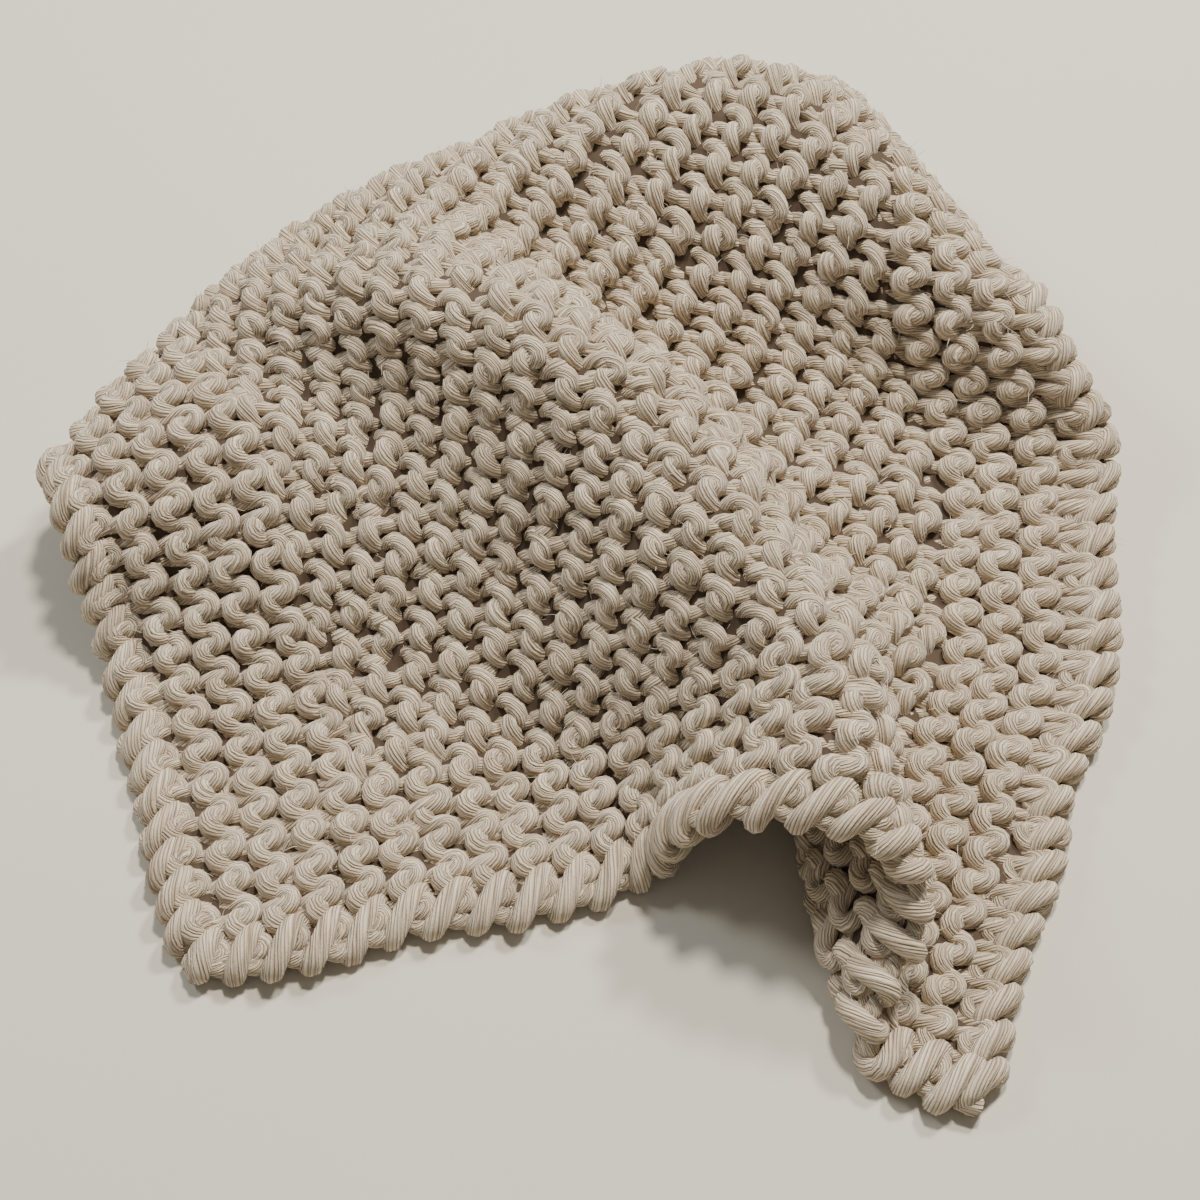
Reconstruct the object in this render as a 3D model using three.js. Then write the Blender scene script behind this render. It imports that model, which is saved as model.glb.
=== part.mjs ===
// A hand-knitted face cloth lying in a loose heap on a flat surface.
// It is one thick sheet: a tall fold runs from the near hem, where it opens as an arch,
// to the far side, whose rest drops behind the crest and is tucked under.
// Units are millimetres, +Z is up and +X runs to the right along the near hem.

import * as THREE from 'three';
import { mergeVertices } from 'three/addons/utils/BufferGeometryUtils.js';

// The cloth laid flat: garter ridges from left to right, stitches from the near hem to the far one.
const RIDGES = 28;
const STITCHES = 34;
const RIDGE_PITCH = 7.5;
const STITCH_PITCH = 7.0;
const THICKNESS = 5.0;
const HALF = THICKNESS / 2;

// The slab's cells in each direction.
const CELLS_ACROSS = 40;
const CELLS_ALONG = 46;

// How the sheet is settled.
const ROUNDS = 700;
const ROUNDS_HELD_FIRMLY = 455;
const FIRM_HOLD = 0.4;
const LIGHT_HOLD = 0.12;
const ALONG_THREAD = 0.32;
const ACROSS_THREAD = 0.06;
const EVENNESS = 0.1;
const TIGHTEST_BEND = 0.8;
const OPEN_ALONG = 0.25;
const OPEN_ACROSS = 0.12;
const LAYER_GAP = 8.2;
const LAYER_PUSH = 0.4;
const FIRST_LAYER_ROUND = 210;
const LAYER_EVERY = 3;
const SAME_LAYER_REACH = 15.0;
const PLATE_SLACK = 30.0;
const FLAT_BELOW = 0.35;

const CREAM = 0xd9cdb8;

// Where the folds are held while the sheet settles. Each row is
// [ridge number, stitch number, x, y, z of the middle of the sheet].
const HELD = {
  nearHem: [
    [0, 0, -67, -75.5, 2],
    [5.6, 0, -31, -68, 2],
    [11.3, 0, 9, -57.5, 2],
    [13.6, 0, 12.5, -58.5, 18],
    [16, 0, 28, -61, 30],
    [18.3, 0, 43, -64, 30],
    [21, 0, 51, -74, 18],
    [22.6, 0, 48.5, -82, 9],
    [24.9, 0, 48.5, -94, 2],
    [26.5, 0, 54, -99, 2],
    [28, 0, 61, -98, 2],
  ],
  leftEdge: [
    [0, 5, -79, -46, 2],
    [0, 11, -97, -7, 10],
    [0, 15.5, -103, 13, 21],
  ],
  leftHollow: [
    [5, 5, -44, -42, 3],
    [9.8, 4.5, -10, -36, 3],
    [5, 10, -56, -12, 12],
    [10, 9, -20, -6, 17],
  ],
  tallFold: [
    [16.4, 5, 44, -25, 37],
    [16.2, 9.5, 29, 0, 42],
    [15.8, 14.2, 8, 27, 44],
    [15, 17.2, -7, 39, 46],
    [12.8, 20.3, -29, 55, 46],
  ],
  leftRise: [
    [5, 14.5, -62, 22, 29],
    [10, 15, -30, 30, 37],
  ],
  farCrest: [
    [3.5, 16.8, -84, 31, 28],
    [6.8, 18.4, -65, 42.5, 32.5],
    [9.6, 20.4, -52, 56.5, 36.5],
    [12.6, 23.5, -32, 73.5, 42.5],
    [14.6, 25.8, -18, 84, 46],
    [16.2, 27.4, -6, 89, 48],
    [18, 28.6, 11, 95, 50],
    [20.2, 29.3, 29, 97, 50],
    [22.5, 28.7, 47, 86, 48],
    [24.6, 27, 61, 70, 43],
    [26.5, 25, 75, 54, 36],
    [28, 23, 89, 45, 24],
  ],
  rightEdge: [
    [28, 2, 64, -86, 2],
    [28, 4.3, 71, -70.5, 2],
    [28, 8.6, 81, -44, 2],
    [28, 14.7, 97, -4, 6],
    [28, 19.5, 104, 30, 11],
  ],
  rightValley: [
    [25, 5, 56, -64, 3],
    [23.7, 12, 66, -15, 3],
    [22.6, 16.8, 59, 18, 8],
    [20.5, 21, 36, 42, 19],
    [17.8, 23.8, 12, 58, 32],
    [22.5, 23.5, 46, 54, 28],
    [19, 26.5, 20, 78, 43],
  ],
  underTheFold: [
    [21.8, 3.5, 38.5, -58, 4.5],
    [20.5, 9, 35, -28, 6],
    [20, 14.5, 33, 2, 7],
    [18, 18.5, 19, 28, 17],
  ],
  tuckedUnder: [
    [0, 19, -97, 20, 3],
    [0, 34, -4, 0, 2],
    [8, 34, -26, 43, 2],
    [13, 34, -12, 76, 2],
    [20, 34, 28, 112, 20],
    [28, 34, 60, 98, 2],
    [28, 27, 90, 68, 5],
    [13, 28.5, -33, 92, 8],
    [5, 25, -62, 48, 2],
  ],
};

const ROW = STITCHES + 1;
const COLUMNS = RIDGES + 1;
const COUNT = COLUMNS * ROW;
const held = Object.values(HELD).flat();

function indexOf(ridge, stitch) {
  return ridge * ROW + stitch;
}

// Solves a square system for three right-hand columns at once, by elimination with pivoting.
function solve(system, values) {
  const size = system.length;
  for (let column = 0; column < size; column += 1) {
    let best = column;
    for (let row = column + 1; row < size; row += 1) {
      if (Math.abs(system[row][column]) > Math.abs(system[best][column])) best = row;
    }
    [system[column], system[best]] = [system[best], system[column]];
    [values[column], values[best]] = [values[best], values[column]];
    for (let row = column + 1; row < size; row += 1) {
      const factor = system[row][column] / system[column][column];
      for (let k = column; k < size; k += 1) system[row][k] -= factor * system[column][k];
      for (let k = 0; k < 3; k += 1) values[row][k] -= factor * values[column][k];
    }
  }
  for (let row = size - 1; row >= 0; row -= 1) {
    for (let k = 0; k < 3; k += 1) {
      let sum = values[row][k];
      for (let column = row + 1; column < size; column += 1) {
        sum -= system[row][column] * values[column][k];
      }
      values[row][k] = sum / system[row][row];
    }
  }
  return values;
}

function plateKernel(dx, dy) {
  const square = dx * dx + dy * dy + 1e-9;
  return 0.5 * square * Math.log(square);
}

// A thin plate bent through the held points is the sheet before it settles.
function bentPlate() {
  const flat = held.map(([ridge, stitch]) => [ridge * RIDGE_PITCH, stitch * STITCH_PITCH]);
  const pins = flat.length;
  const system = [];
  const values = [];
  for (let a = 0; a < pins; a += 1) {
    const row = flat.map(([x, y]) => plateKernel(flat[a][0] - x, flat[a][1] - y));
    row[a] += PLATE_SLACK;
    system.push([...row, 1, flat[a][0], flat[a][1]]);
    values.push(held[a].slice(2));
  }
  system.push([...flat.map(() => 1), 0, 0, 0]);
  system.push([...flat.map(([x]) => x), 0, 0, 0]);
  system.push([...flat.map(([, y]) => y), 0, 0, 0]);
  values.push([0, 0, 0], [0, 0, 0], [0, 0, 0]);
  const weights = solve(system, values);
  const points = new Float64Array(COUNT * 3);
  for (let i = 0; i < COLUMNS; i += 1) {
    for (let j = 0; j < ROW; j += 1) {
      const x = i * RIDGE_PITCH;
      const y = j * STITCH_PITCH;
      for (let k = 0; k < 3; k += 1) {
        let sum = weights[pins][k] + x * weights[pins + 1][k] + y * weights[pins + 2][k];
        for (let a = 0; a < pins; a += 1) {
          sum += plateKernel(x - flat[a][0], y - flat[a][1]) * weights[a][k];
        }
        points[indexOf(i, j) * 3 + k] = sum;
      }
    }
  }
  return points;
}

// Moves every pair that lies one such step apart towards its resting distance, or,
// where `least` is under 1, only apart and only up to that share of it. So no crease
// gets sharper than the thick sheet can follow.
function keepLength(points, shift, ridgeStep, stitchStep, pull, least = 1) {
  const rest = least * Math.hypot(ridgeStep * RIDGE_PITCH, stitchStep * STITCH_PITCH);
  const step = ridgeStep * ROW + stitchStep;
  const first = Math.max(0, -ridgeStep);
  const last = COLUMNS - Math.max(0, ridgeStep);
  for (let i = first; i < last; i += 1) {
    for (let j = 0; j < ROW - stitchStep; j += 1) {
      const a = indexOf(i, j) * 3;
      const b = a + step * 3;
      const x = points[b] - points[a];
      const y = points[b + 1] - points[a + 1];
      const z = points[b + 2] - points[a + 2];
      const length = Math.hypot(x, y, z) + 1e-9;
      if (least < 1 && length > rest) continue;
      const share = pull * 0.5 * (length - rest) / length;
      shift[a] += x * share;
      shift[a + 1] += y * share;
      shift[a + 2] += z * share;
      shift[b] -= x * share;
      shift[b + 1] -= y * share;
      shift[b + 2] -= z * share;
    }
  }
}

// Evens out the curl along each row of three neighbours.
function keepSmooth(points, shift, step, ridges, stitches) {
  for (let i = 0; i < ridges; i += 1) {
    for (let j = 0; j < stitches; j += 1) {
      const a = indexOf(i, j) * 3;
      const b = a + step * 3;
      const c = b + step * 3;
      for (let k = 0; k < 3; k += 1) {
        const curl = points[c + k] - 2 * points[b + k] + points[a + k];
        shift[b + k] += EVENNESS * 0.5 * curl;
        shift[a + k] -= EVENNESS * 0.25 * curl;
        shift[c + k] -= EVENNESS * 0.25 * curl;
      }
    }
  }
}

// Each held point is shared between the four grid points around it.
function gripsOf([ridge, stitch, ...target]) {
  const i = Math.min(Math.floor(ridge), RIDGES - 1);
  const j = Math.min(Math.floor(stitch), STITCHES - 1);
  const right = ridge - i;
  const far = stitch - j;
  const grips = [
    [indexOf(i, j), (1 - right) * (1 - far)],
    [indexOf(i, j + 1), (1 - right) * far],
    [indexOf(i + 1, j), right * (1 - far)],
    [indexOf(i + 1, j + 1), right * far],
  ];
  const total = grips.reduce((sum, [, share]) => sum + share * share, 0);
  return { grips, total, target };
}

function pullToHeld(points, holds, hold) {
  const errors = holds.map(({ grips, total, target }) => target.map((goal, k) => {
    const now = grips.reduce((sum, [at, share]) => sum + points[at * 3 + k] * share, 0);
    return (goal - now) * hold / total;
  }));
  holds.forEach(({ grips }, n) => {
    for (const [at, share] of grips) {
      for (let k = 0; k < 3; k += 1) points[at * 3 + k] += errors[n][k] * share;
    }
  });
}

// Layers that lie on each other keep their distance.
function keepLayersApart(points) {
  const shift = new Float64Array(COUNT * 3);
  for (let a = 0; a < COUNT; a += 1) {
    for (let b = a + 1; b < COUNT; b += 1) {
      const z = points[a * 3 + 2] - points[b * 3 + 2];
      if (Math.abs(z) > LAYER_GAP) continue;
      const x = points[a * 3] - points[b * 3];
      const y = points[a * 3 + 1] - points[b * 3 + 1];
      const length = Math.hypot(x, y, z) + 1e-9;
      if (length > LAYER_GAP) continue;
      const ridges = Math.floor(a / ROW) - Math.floor(b / ROW);
      const stitches = (a % ROW) - (b % ROW);
      if (Math.hypot(ridges * RIDGE_PITCH, stitches * STITCH_PITCH) < SAME_LAYER_REACH) continue;
      const push = (LAYER_GAP - length) / length * LAYER_PUSH;
      [x, y, z].forEach((part, k) => {
        shift[a * 3 + k] += part * push;
        shift[b * 3 + k] -= part * push;
      });
    }
  }
  for (let n = 0; n < COUNT * 3; n += 1) points[n] += shift[n];
}

function keepAboveFloor(points) {
  for (let n = 2; n < COUNT * 3; n += 3) points[n] = Math.max(points[n], HALF);
}

function settledSheet() {
  const points = bentPlate();
  const holds = held.map(gripsOf);
  keepAboveFloor(points);
  for (let round = 0; round < ROUNDS; round += 1) {
    const shift = new Float64Array(COUNT * 3);
    keepLength(points, shift, 1, 0, ALONG_THREAD);
    keepLength(points, shift, 0, 1, ALONG_THREAD);
    keepLength(points, shift, 1, 1, ACROSS_THREAD);
    keepLength(points, shift, -1, 1, ACROSS_THREAD);
    keepLength(points, shift, 2, 0, OPEN_ALONG, TIGHTEST_BEND);
    keepLength(points, shift, 0, 2, OPEN_ALONG, TIGHTEST_BEND);
    keepLength(points, shift, 2, 2, OPEN_ACROSS, TIGHTEST_BEND);
    keepLength(points, shift, -2, 2, OPEN_ACROSS, TIGHTEST_BEND);
    keepSmooth(points, shift, ROW, COLUMNS - 2, ROW);
    keepSmooth(points, shift, 1, COLUMNS, ROW - 2);
    for (let n = 0; n < COUNT * 3; n += 1) points[n] += shift[n];
    pullToHeld(points, holds, round < ROUNDS_HELD_FIRMLY ? FIRM_HOLD : LIGHT_HOLD);
    if (round > FIRST_LAYER_ROUND && round % LAYER_EVERY === 0) keepLayersApart(points);
    keepAboveFloor(points);
  }
  return points;
}

// A grid point past the rim continues the two beside it in a straight line.
function controlPoint(points, i, j, k) {
  if (i < 0) return 2 * controlPoint(points, 0, j, k) - controlPoint(points, 1, j, k);
  if (i > RIDGES) {
    return 2 * controlPoint(points, RIDGES, j, k) - controlPoint(points, RIDGES - 1, j, k);
  }
  if (j < 0) return 2 * controlPoint(points, i, 0, k) - controlPoint(points, i, 1, k);
  if (j > STITCHES) {
    return 2 * controlPoint(points, i, STITCHES, k) - controlPoint(points, i, STITCHES - 1, k);
  }
  return points[indexOf(i, j) * 3 + k];
}

// The four weights of a cubic spline at t, and how fast they change.
function splineWeights(t) {
  const s = 1 - t;
  return [
    s ** 3 / 6,
    (3 * t ** 3 - 6 * t ** 2 + 4) / 6,
    (3 * s ** 3 - 6 * s ** 2 + 4) / 6,
    t ** 3 / 6,
  ];
}

function splineSlopes(t) {
  const s = 1 - t;
  return [
    -(s ** 2) / 2,
    (3 * t ** 2 - 4 * t) / 2,
    -(3 * s ** 2 - 4 * s) / 2,
    t ** 2 / 2,
  ];
}

function blend(points, i, j, across, along) {
  const out = [0, 0, 0];
  for (let a = 0; a < 4; a += 1) {
    for (let b = 0; b < 4; b += 1) {
      const weight = across[a] * along[b];
      for (let k = 0; k < 3; k += 1) {
        out[k] += weight * controlPoint(points, i + a - 1, j + b - 1, k);
      }
    }
  }
  return new THREE.Vector3(...out);
}

// The place `height` above the middle of the sheet at a ridge and stitch number.
function placeOnSheet(points, ridge, stitch, height) {
  const i = Math.min(Math.floor(ridge), RIDGES - 1);
  const j = Math.min(Math.floor(stitch), STITCHES - 1);
  const right = ridge - i;
  const far = stitch - j;
  const place = blend(points, i, j, splineWeights(right), splineWeights(far));
  const across = blend(points, i, j, splineSlopes(right), splineWeights(far));
  const along = blend(points, i, j, splineWeights(right), splineSlopes(far));
  const out = across.cross(along).normalize();
  place.addScaledVector(out, height);
  if (place.z < FLAT_BELOW) place.z = 0;
  return place;
}

// A flat slab of the cloth's size is laid onto the settled sheet, point by point.
function clothGeometry() {
  const width = RIDGES * RIDGE_PITCH;
  const length = STITCHES * STITCH_PITCH;
  const slab = new THREE.BoxGeometry(width, length, THICKNESS, CELLS_ACROSS, CELLS_ALONG, 1);
  slab.deleteAttribute('normal');
  slab.deleteAttribute('uv');
  const cloth = mergeVertices(slab);
  const points = settledSheet();
  const position = cloth.getAttribute('position');
  for (let n = 0; n < position.count; n += 1) {
    const ridge = (position.getX(n) + width / 2) / RIDGE_PITCH;
    const stitch = (position.getY(n) + length / 2) / STITCH_PITCH;
    const place = placeOnSheet(points, ridge, stitch, position.getZ(n));
    position.setXYZ(n, place.x, place.y, place.z);
  }
  cloth.computeBoundingBox();
  const box = cloth.boundingBox;
  cloth.translate(-(box.min.x + box.max.x) / 2, -(box.min.y + box.max.y) / 2, -box.min.z);
  cloth.computeVertexNormals();
  return cloth;
}

const material = new THREE.MeshStandardMaterial({ color: CREAM, roughness: 0.95, metalness: 0 });
const cloth = new THREE.Mesh(clothGeometry(), material);
cloth.name = 'cloth';

const heap = new THREE.Group();
heap.add(cloth);

export default heap;
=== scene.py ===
"""Looks of a hand-knitted cotton face cloth that lies in a loose heap.

The cloth is settled as one sheet, as the CAD solid was, and the yarn is knitted onto it
row by row. Lengths are in metres unless a name says mm.
"""

import math

import bmesh
import bpy
import numpy as np
from bpy.props import FloatProperty, FloatVectorProperty, IntProperty, PointerProperty
from mathutils import Matrix, Vector


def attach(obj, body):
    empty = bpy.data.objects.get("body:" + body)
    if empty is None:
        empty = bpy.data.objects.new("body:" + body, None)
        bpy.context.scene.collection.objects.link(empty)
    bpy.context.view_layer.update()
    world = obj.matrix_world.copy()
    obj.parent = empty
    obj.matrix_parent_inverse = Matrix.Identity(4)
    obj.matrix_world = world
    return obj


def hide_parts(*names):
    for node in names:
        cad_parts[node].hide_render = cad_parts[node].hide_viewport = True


bl_info = {
    "name": "Knitted face cloth",
    "version": (1, 0, 0),
    "blender": (4, 5, 0),
    "location": "View3D > Sidebar > Knitted cloth",
    "description": "Knits a cotton face cloth that lies in a loose heap",
    "category": "Object",
}

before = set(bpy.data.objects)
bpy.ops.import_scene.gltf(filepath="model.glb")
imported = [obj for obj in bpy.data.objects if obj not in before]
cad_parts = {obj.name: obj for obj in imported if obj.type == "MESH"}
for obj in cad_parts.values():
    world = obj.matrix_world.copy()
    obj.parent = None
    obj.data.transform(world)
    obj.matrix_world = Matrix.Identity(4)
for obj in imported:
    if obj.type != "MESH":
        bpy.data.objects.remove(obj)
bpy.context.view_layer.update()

MM = 0.001

# The cloth laid flat, in mm: garter ridges from left to right, stitches from near to far.
RIDGES = 28
STITCHES = 34
RIDGE_PITCH = 7.5
STITCH_PITCH = 7.0
ROWS = 2 * RIDGES
ROW_PITCH = RIDGE_PITCH / 2

# The solid: half its thickness in mm, and its own grid of points, ridges by stitches. The middle
# of its box is the middle of the frame.
HALF = 2.5
SOLID_POINTS = (41, 47)

# How the sheet is settled: rounds, and how strongly each rule moves the points in a round.
ROUNDS = 700
ROUNDS_HELD_FIRMLY = 455
FIRM_HOLD = 0.4
LIGHT_HOLD = 0.12
ALONG_THREAD = 0.32
ACROSS_THREAD = 0.06
EVENNESS = 0.1
# No bend closes two steps to less than this share of their length.
TIGHTEST_BEND = 0.8
OPEN_ALONG = 0.25
OPEN_ACROSS = 0.12
# Layers that lie on each other, in mm: their gap, and how far apart in the flat cloth they start.
LAYER_GAP = 8.2
SAME_LAYER_REACH = 15.0
LAYER_PUSH = 0.4
FIRST_LAYER_ROUND = 210
LAYER_EVERY = 3
# How far the bent plate may miss the held points, and what keeps a division from zero.
PLATE_SLACK = 30.0
TINY = 1e-9

# Where the folds are held while the sheet settles. Each row is
# (ridge number, stitch number, x, y, z of the middle of the sheet in mm).
HELD = {
    "near hem": [
        (0, 0, -67, -75.5, 2),
        (5.6, 0, -31, -68, 2),
        (11.3, 0, 9, -57.5, 2),
        (13.6, 0, 12.5, -58.5, 18),
        (16, 0, 28, -61, 30),
        (18.3, 0, 43, -64, 30),
        (21, 0, 51, -74, 18),
        (22.6, 0, 48.5, -82, 9),
        (24.9, 0, 48.5, -94, 2),
        (26.5, 0, 54, -99, 2),
        (28, 0, 61, -98, 2),
    ],
    "left edge": [
        (0, 5, -79, -46, 2),
        (0, 11, -97, -7, 10),
        (0, 15.5, -103, 13, 21),
    ],
    "left hollow": [
        (5, 5, -44, -42, 3),
        (9.8, 4.5, -10, -36, 3),
        (5, 10, -56, -12, 12),
        (10, 9, -20, -6, 17),
    ],
    "tall fold": [
        (16.4, 5, 44, -25, 37),
        (16.2, 9.5, 29, 0, 42),
        (15.8, 14.2, 8, 27, 44),
        (15, 17.2, -7, 39, 46),
        (12.8, 20.3, -29, 55, 46),
    ],
    "left rise": [
        (5, 14.5, -62, 22, 29),
        (10, 15, -30, 30, 37),
    ],
    "far crest": [
        (3.5, 16.8, -84, 31, 28),
        (6.8, 18.4, -65, 42.5, 32.5),
        (9.6, 20.4, -52, 56.5, 36.5),
        (12.6, 23.5, -32, 73.5, 42.5),
        (14.6, 25.8, -18, 84, 46),
        (16.2, 27.4, -6, 89, 48),
        (18, 28.6, 11, 95, 50),
        (20.2, 29.3, 29, 97, 50),
        (22.5, 28.7, 47, 86, 48),
        (24.6, 27, 61, 70, 43),
        (26.5, 25, 75, 54, 36),
        (28, 23, 89, 45, 24),
    ],
    "right edge": [
        (28, 2, 64, -86, 2),
        (28, 4.3, 71, -70.5, 2),
        (28, 8.6, 81, -44, 2),
        (28, 14.7, 97, -4, 6),
        (28, 19.5, 104, 30, 11),
    ],
    "right valley": [
        (25, 5, 56, -64, 3),
        (23.7, 12, 66, -15, 3),
        (22.6, 16.8, 59, 18, 8),
        (20.5, 21, 36, 42, 19),
        (17.8, 23.8, 12, 58, 32),
        (22.5, 23.5, 46, 54, 28),
        (19, 26.5, 20, 78, 43),
    ],
    "under the fold": [
        (21.8, 3.5, 38.5, -58, 4.5),
        (20.5, 9, 35, -28, 6),
        (20, 14.5, 33, 2, 7),
        (18, 18.5, 19, 28, 17),
    ],
    "tucked under": [
        (0, 19, -97, 20, 3),
        (0, 34, -4, 0, 2),
        (8, 34, -26, 43, 2),
        (13, 34, -12, 76, 2),
        (20, 34, 28, 112, 20),
        (28, 34, 60, 98, 2),
        (28, 27, 90, 68, 5),
        (13, 28.5, -33, 92, 8),
        (5, 25, -62, 48, 2),
    ],
}

# Stitches of garter border at the near and far sides, and ridges of it at the other two.
NEAR_BORDER = 4
FAR_BORDER = 4
LEFT_BORDER = 5
RIGHT_BORDER = 4

# Points on the yarn for each stitch, and rows of loops in a band.
POINTS_PER_STITCH = 20
BAND_ROWS = 14

# Between a knit and a purl stitch the yarn crosses the cloth, this late in radians, on a shorter foot.
FOOT_LATE = 1.3
CROSSING_FOOT = 0.62

# The loops of the seed stitch, as shares of those in the border: a head's rise and reach, a leg's
# depth on the side where it shows, the loop's bulge and the yarn's swell.
BUMP_RISE = 1.25
BUMP_REACH = 0.91
BUMP_LEG = -0.5
BUMP_BULGE = 2.0
BUMP_SWELL = 0.6
# Each such head also leans across its row, by this many mm at either end.
BUMP_SLANT = 0.5

# How far the yarn turns outwards at the end of a row, in mm, and in how many steps. Two points
# that are less than the least step apart, in mm, count as one.
TURN_REACH = 0.8
TURN_STEPS = 8
LEAST_STEP = 1e-6

# The edge yarn's strokes: points on each, and in mm their slant, rise and reach into the cloth.
ROPE_POINTS = 16
ROPE_SLANT = 1.6
ROPE_RISE = 2.1
NEAR_REACH = 3.9
SIDE_REACH = 2.4

# The loops under the edge yarn are flatter: their least share, and over how many mm it grows to 1.
EDGE_FLATNESS = 0.35
EDGE_WIDTH = 7.0

# The strokes' middle lies this far in from the near and far edges, and from the sides, in mm.
NEAR_INSET = 1.8
SIDE_INSET = 1.0

# The edges in turn, near, right, far and left: whether each runs along the stitches, where the
# strokes' middle lies, their reach, and 1 or -1 for the way that the yarn takes along it.
EDGES = [
    (False, NEAR_INSET, NEAR_REACH, 1),
    (True, RIDGES * RIDGE_PITCH - SIDE_INSET, SIDE_REACH, 1),
    (False, STITCHES * STITCH_PITCH - NEAR_INSET, NEAR_REACH, -1),
    (True, SIDE_INSET, SIDE_REACH, -1),
]

# The loose fibres: the share of the yarn's radius where they start, how far they stray from
# straight out, how much they curl, their least and greatest length in mm, the places along them
# where their path has points, and their radius in mm at each.
FIBRE_ROOT = 0.9
FIBRE_STRAY = 0.6
FIBRE_CURL = 0.45
FIBRE_LENGTHS = (0.8, 2.4)
FIBRE_STEPS = (0.0, 0.35, 0.7, 1.0)
FIBRE_RADII = (0.07, 0.06, 0.045, 0.02)

# The seed of all random draws, and how far the yarn stays above the floor, in metres.
SEED = 7
FLOOR_GAP = 0.0002


class ClothSizes(bpy.types.PropertyGroup):
    """Sizes of the yarn and its loops."""

    yarn_radius: FloatProperty(
        name="Yarn radius",
        description="Radius of the yarn where a loop crosses another",
        default=1.5 * MM,
        unit="LENGTH",
    )
    yarn_swell: FloatProperty(
        name="Yarn swell",
        description="How much thicker the soft yarn is where it lies free",
        default=0.5 * MM,
        unit="LENGTH",
    )
    loop_height: FloatProperty(
        name="Half loop height",
        description="Half the height of a loop along the wale",
        default=3.9 * MM,
        unit="LENGTH",
    )
    loop_bulge: FloatProperty(
        name="Loop bulge",
        description="How far a loop widens at its head and foot",
        default=0.6 * MM,
        unit="LENGTH",
    )
    loop_depth: FloatProperty(
        name="Loop depth",
        description="How far the yarn runs in front of and behind the middle of the cloth",
        default=1.6 * MM,
        unit="LENGTH",
    )
    loop_turn: FloatProperty(
        name="Loop turn",
        description="How far a loop's rising leg stands above its falling leg",
        default=0.5 * MM,
        unit="LENGTH",
    )
    loop_lean: FloatProperty(
        name="Loop lean",
        description="How far a loop's foot lies ahead along the row, and its head behind",
        default=0.25 * MM,
        unit="LENGTH",
    )
    leg_depth: FloatProperty(
        name="Leg depth",
        description="How far a loop's legs lie from the middle, on the side where they show",
        default=0.4 * MM,
        unit="LENGTH",
    )
    foot_swell: FloatProperty(
        name="Foot swell",
        description="How much fuller a loop's foot is than its head",
        default=0.2 * MM,
        unit="LENGTH",
    )
    rope_radius: FloatProperty(
        name="Edge yarn radius",
        description="Radius of the full yarn that wraps the cloth's edges",
        default=2.1 * MM,
        unit="LENGTH",
    )
    unevenness: FloatProperty(
        name="Unevenness",
        description="How far hand knitting shifts a loop at random",
        default=0.36 * MM,
        unit="LENGTH",
    )
    # The sheet inside the yarn stands for the shadow deep between the loops: its dark colour is
    # painted shade.
    backing: FloatProperty(
        name="Backing thickness",
        description="Thickness of the sheet inside the yarn",
        default=1.2 * MM,
        unit="LENGTH",
    )
    strands: IntProperty(
        name="Strands",
        description="Fine strands round the yarn",
        default=18,
    )
    fibres: IntProperty(
        name="Loose fibres",
        description="Number of short fibres that stand off the yarn",
        default=7000,
    )
    floor_size: FloatProperty(
        name="Floor size",
        description="Side of the plain floor",
        default=3.0,
        unit="LENGTH",
    )


class ClothColours(bpy.types.PropertyGroup):
    """Colours of the cloth and of the floor, with the painted shade in the yarn's grooves and in the
    gaps between the loops.
    """

    yarn: FloatVectorProperty(
        name="Yarn",
        description="Undyed cotton",
        subtype="COLOR",
        default=(0.73, 0.61, 0.445),
    )
    # Painted shade: the dark colour laid in the grooves between the strands, which the random frays
    # also mix in.
    groove_shade_and_fray: FloatVectorProperty(
        name="Groove",
        description="Between the strands of the yarn",
        subtype="COLOR",
        default=(0.26, 0.18, 0.115),
    )
    fibre: FloatVectorProperty(
        name="Fibre",
        description="The loose fibres on the yarn",
        subtype="COLOR",
        default=(0.78, 0.71, 0.6),
    )
    # Painted shade: the colour of the sheet inside the yarn stands for the dark shadow deep in the
    # gaps between the loops.
    backing: FloatVectorProperty(
        name="Backing",
        description="Deep between the loops",
        subtype="COLOR",
        default=(0.1, 0.07, 0.048),
    )
    floor: FloatVectorProperty(
        name="Floor",
        description="Plain pale floor",
        subtype="COLOR",
        default=(0.68, 0.635, 0.53),
    )


def sizes():
    """The sizes that the user sees in the panel."""
    return bpy.context.scene.cloth_sizes


def colours():
    """The colours that the user sees in the panel."""
    return bpy.context.scene.cloth_colours


# The settled sheet


def bent_plate(held, ridge, stitch):
    """A thin plate bent through the held points is the sheet before it settles."""
    places = held[:, :2] * [RIDGE_PITCH, STITCH_PITCH]
    count = len(held)

    def kernel(distance):
        square = distance**2 + TINY
        return 0.5 * square * np.log(square)

    apart = np.linalg.norm(places[:, None] - places[None], axis=2)
    system = np.zeros((count + 3, count + 3))
    system[:count, :count] = kernel(apart) + np.eye(count) * PLATE_SLACK
    system[:count, count] = 1
    system[:count, count + 1 :] = places
    system[count, :count] = 1
    system[count + 1 :, :count] = places.T
    values = np.zeros((count + 3, 3))
    values[:count] = held[:, 2:]
    weights = np.linalg.solve(system, values)
    flat = np.stack([ridge * RIDGE_PITCH, stitch * STITCH_PITCH], axis=-1)
    reach = np.linalg.norm(flat[:, :, None] - places[None, None], axis=3)
    return kernel(reach) @ weights[:count] + weights[count] + flat @ weights[count + 1 :]


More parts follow.
